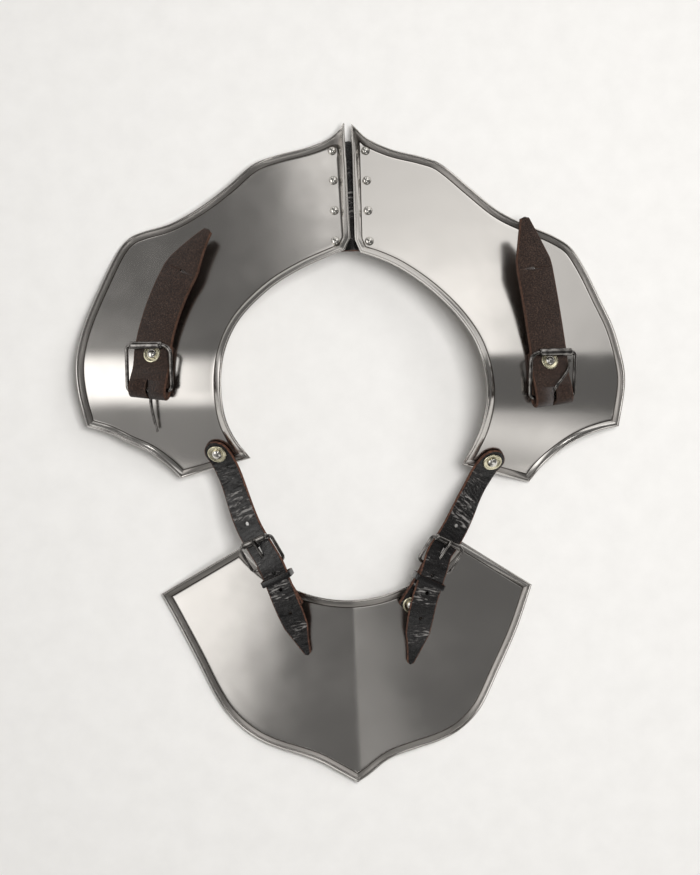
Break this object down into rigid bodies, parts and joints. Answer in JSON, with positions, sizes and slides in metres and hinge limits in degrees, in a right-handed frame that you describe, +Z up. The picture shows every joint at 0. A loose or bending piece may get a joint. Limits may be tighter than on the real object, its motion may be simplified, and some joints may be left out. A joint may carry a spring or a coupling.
{
  "type": "gorget",
  "caption": "Steel neck armour lying open: shoulder plates joined by a leather hinge, a keeled front plate held by buckled leather straps, and open buckle straps on the shoulders.",
  "frame": {"origin": "centre of the footprint, on the ground that the gorget lies on", "axes": "+X towards the right of the picture, +Y towards the hinge behind the neck, +Z up"},
  "size_m": [0.3582, 0.4334, 0.0533],
  "materials": {
    "steel": "satin polish with fine random scratches",
    "blackened": "darkened wire, slightly worn",
    "nickel": "polished, faintly yellow",
    "brown_leather": "matt, suede side out",
    "black_leather": "smooth and creased, with bare brown edges"
  },
  "bodies": {
    "gorget": {"shoulder_plate_left": "steel", "shoulder_plate_right": "steel", "front_plate": "steel", "hinge_leather": "black_leather", "hinge_rivet_left_1": "nickel", "hinge_rivet_left_2": "nickel", "hinge_rivet_left_3": "nickel", "hinge_rivet_left_4": "nickel", "hinge_rivet_right_1": "nickel", "hinge_rivet_right_2": "nickel", "hinge_rivet_right_3": "nickel", "hinge_rivet_right_4": "nickel", "shoulder_strap_left": "brown_leather", "shoulder_rivet_left": "nickel", "shoulder_washer_left": "nickel", "shoulder_strap_right": "brown_leather", "shoulder_rivet_right": "nickel", "shoulder_washer_right": "nickel", "front_strap_left": "black_leather", "front_rivet_left": "nickel", "front_washer_left": "nickel", "chape_left": "black_leather", "chape_rivet_left": "nickel", "chape_washer_left": "nickel", "front_buckle_left": "blackened", "front_roller_left": "blackened", "front_prong_left": "blackened", "keeper_left": "black_leather", "front_strap_right": "black_leather", "front_rivet_right": "nickel", "front_washer_right": "nickel", "chape_right": "black_leather", "chape_rivet_right": "nickel", "chape_washer_right": "nickel", "front_buckle_right": "blackened", "front_roller_right": "blackened", "front_prong_right": "blackened", "keeper_right": "black_leather"},
    "buckle_left": {"shoulder_buckle_left": "blackened"},
    "roller_left": {"shoulder_roller_left": "blackened"},
    "prong_left": {"shoulder_prong_left": "blackened"},
    "buckle_right": {"shoulder_buckle_right": "blackened"},
    "roller_right": {"shoulder_roller_right": "blackened"},
    "prong_right": {"shoulder_prong_right": "blackened"}
  },
  "joints": [
    {"name": "buckle_swing_left", "type": "hinge", "parent": "gorget", "child": "buckle_left", "pos_m": [-0.12908, 0.04041, 0.04252], "axis": [0.9453, 0.0004, 0.3263], "range_deg": [0, 150]},
    {"name": "prong_swing_left", "type": "hinge", "parent": "gorget", "child": "prong_left", "pos_m": [-0.12908, 0.04041, 0.04252], "axis": [0.9453, 0.0004, 0.3263], "range_deg": [-150, 0]},
    {"name": "roller_spin_left", "type": "hinge", "parent": "buckle_left", "child": "roller_left", "pos_m": [-0.12976, 0.06934, 0.04446], "axis": [0.9453, 0.0004, 0.3263], "continuous": true},
    {"name": "buckle_swing_right", "type": "hinge", "parent": "gorget", "child": "buckle_right", "pos_m": [0.12955, 0.03627, 0.04001], "axis": [0.9438, 0.0313, -0.3291], "range_deg": [0, 150]},
    {"name": "prong_swing_right", "type": "hinge", "parent": "gorget", "child": "prong_right", "pos_m": [0.12955, 0.03627, 0.04001], "axis": [0.9438, 0.0313, -0.3291], "range_deg": [0, 150]},
    {"name": "roller_spin_right", "type": "hinge", "parent": "buckle_right", "child": "roller_right", "pos_m": [0.12992, 0.06502, 0.04381], "axis": [0.9438, 0.0313, -0.3291], "continuous": true}
  ]
}
